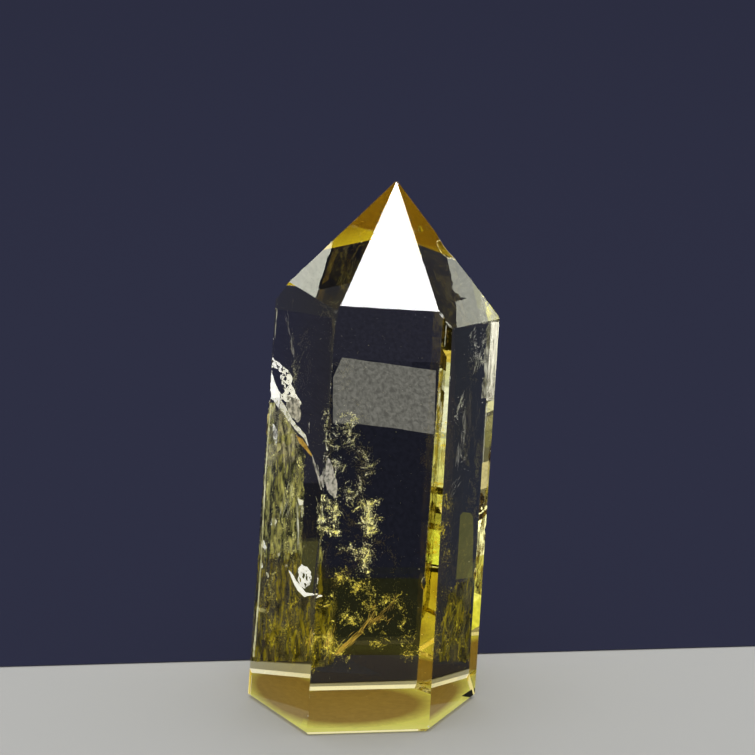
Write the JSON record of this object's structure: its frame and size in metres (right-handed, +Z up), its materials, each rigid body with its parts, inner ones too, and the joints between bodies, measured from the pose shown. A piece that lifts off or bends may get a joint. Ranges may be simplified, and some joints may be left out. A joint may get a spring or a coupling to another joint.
{
  "type": "citrine crystal point",
  "caption": "Clear golden quartz point: a polished six-sided column with a faceted tip, standing on a flat sawn base.",
  "frame": {"origin": "the middle of the box round the stone, in its base plane", "axes": "+Z up, along the column; -Y towards the viewer of the front face; +X to the viewer's right, the side the column leans to"},
  "size_m": [0.0322, 0.0238, 0.0684],
  "materials": {
    "citrine": "polished clear golden quartz, see-through, with veils and small fractures inside"
  },
  "bodies": {
    "root": {"crystal_point": "citrine"}
  },
  "joints": []
}
